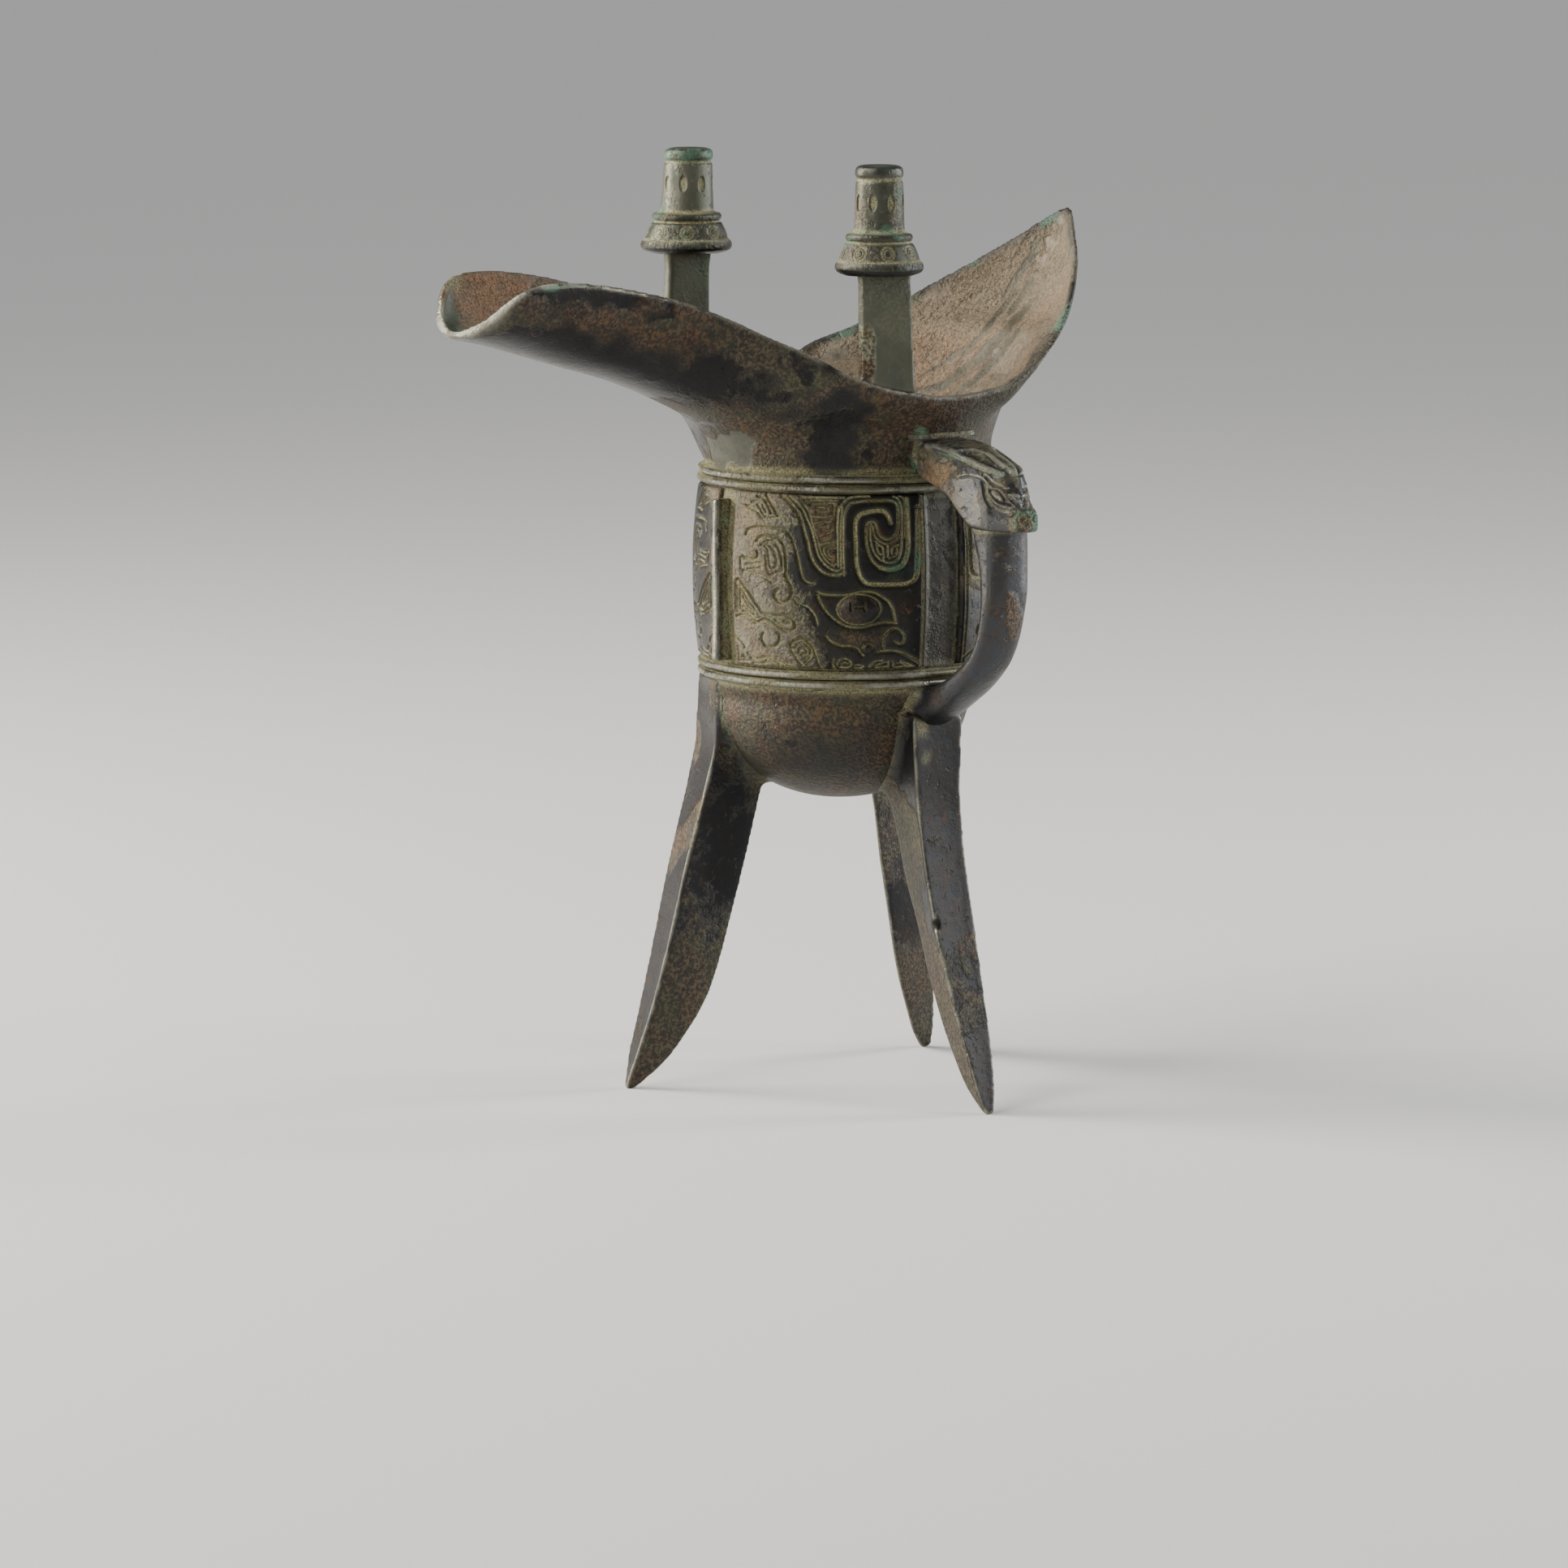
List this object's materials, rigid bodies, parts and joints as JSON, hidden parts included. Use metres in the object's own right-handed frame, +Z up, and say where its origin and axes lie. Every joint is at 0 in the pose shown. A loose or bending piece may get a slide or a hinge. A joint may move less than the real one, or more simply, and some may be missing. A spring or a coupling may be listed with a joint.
{
  "type": "three-legged bronze libation cup",
  "caption": "Ritual bronze wine cup: egg-bottomed bowl with relief band, long spout, pointed tail, capped posts, beast-head handle and blade legs.",
  "frame": {"origin": "centre of the object's bounding box in plan, on the floor the three feet stand on", "axes": "+Z up; the spout points to -X, the tail to +X and the handle to -Y; the bowstrings' axis is at x 23.15 mm, y 9.75 mm"},
  "size_m": [0.173, 0.1054, 0.2073],
  "materials": {
    "vessel_bronze": "aged bronze, dark brown to grey-green patina with rusty patches, satin",
    "relief_bronze": "aged bronze, dark polished highlights with pale green-tan earth in the grooves",
    "handle_bronze": "aged bronze, worn blue-grey satin with green and brown spots",
    "post_bronze": "aged bronze, grey-green crust with malachite on the cap tops",
    "leg_bronze": "aged bronze, dark brown-black satin with bright worn edges"
  },
  "bodies": {
    "root": {"body_bowl": "vessel_bronze", "body_band": "vessel_bronze", "body_neck": "vessel_bronze", "spout": "vessel_bronze", "tail": "vessel_bronze", "upper_bowstring_1": "relief_bronze", "upper_bowstring_2": "relief_bronze", "lower_bowstring_1": "relief_bronze", "lower_bowstring_2": "relief_bronze", "mask_near_spout": "relief_bronze", "mask_near_tail": "relief_bronze", "mask_far_spout": "relief_bronze", "mask_far_tail": "relief_bronze", "flange_spout": "relief_bronze", "flange_tail": "relief_bronze", "flange_back": "relief_bronze", "handle_loop": "handle_bronze", "handle_head": "handle_bronze", "post_near": "post_bronze", "post_far": "post_bronze", "post_cap_near": "post_bronze", "post_cap_far": "post_bronze", "leg_handle": "leg_bronze", "leg_spout": "leg_bronze", "leg_tail": "leg_bronze"}
  },
  "joints": []
}
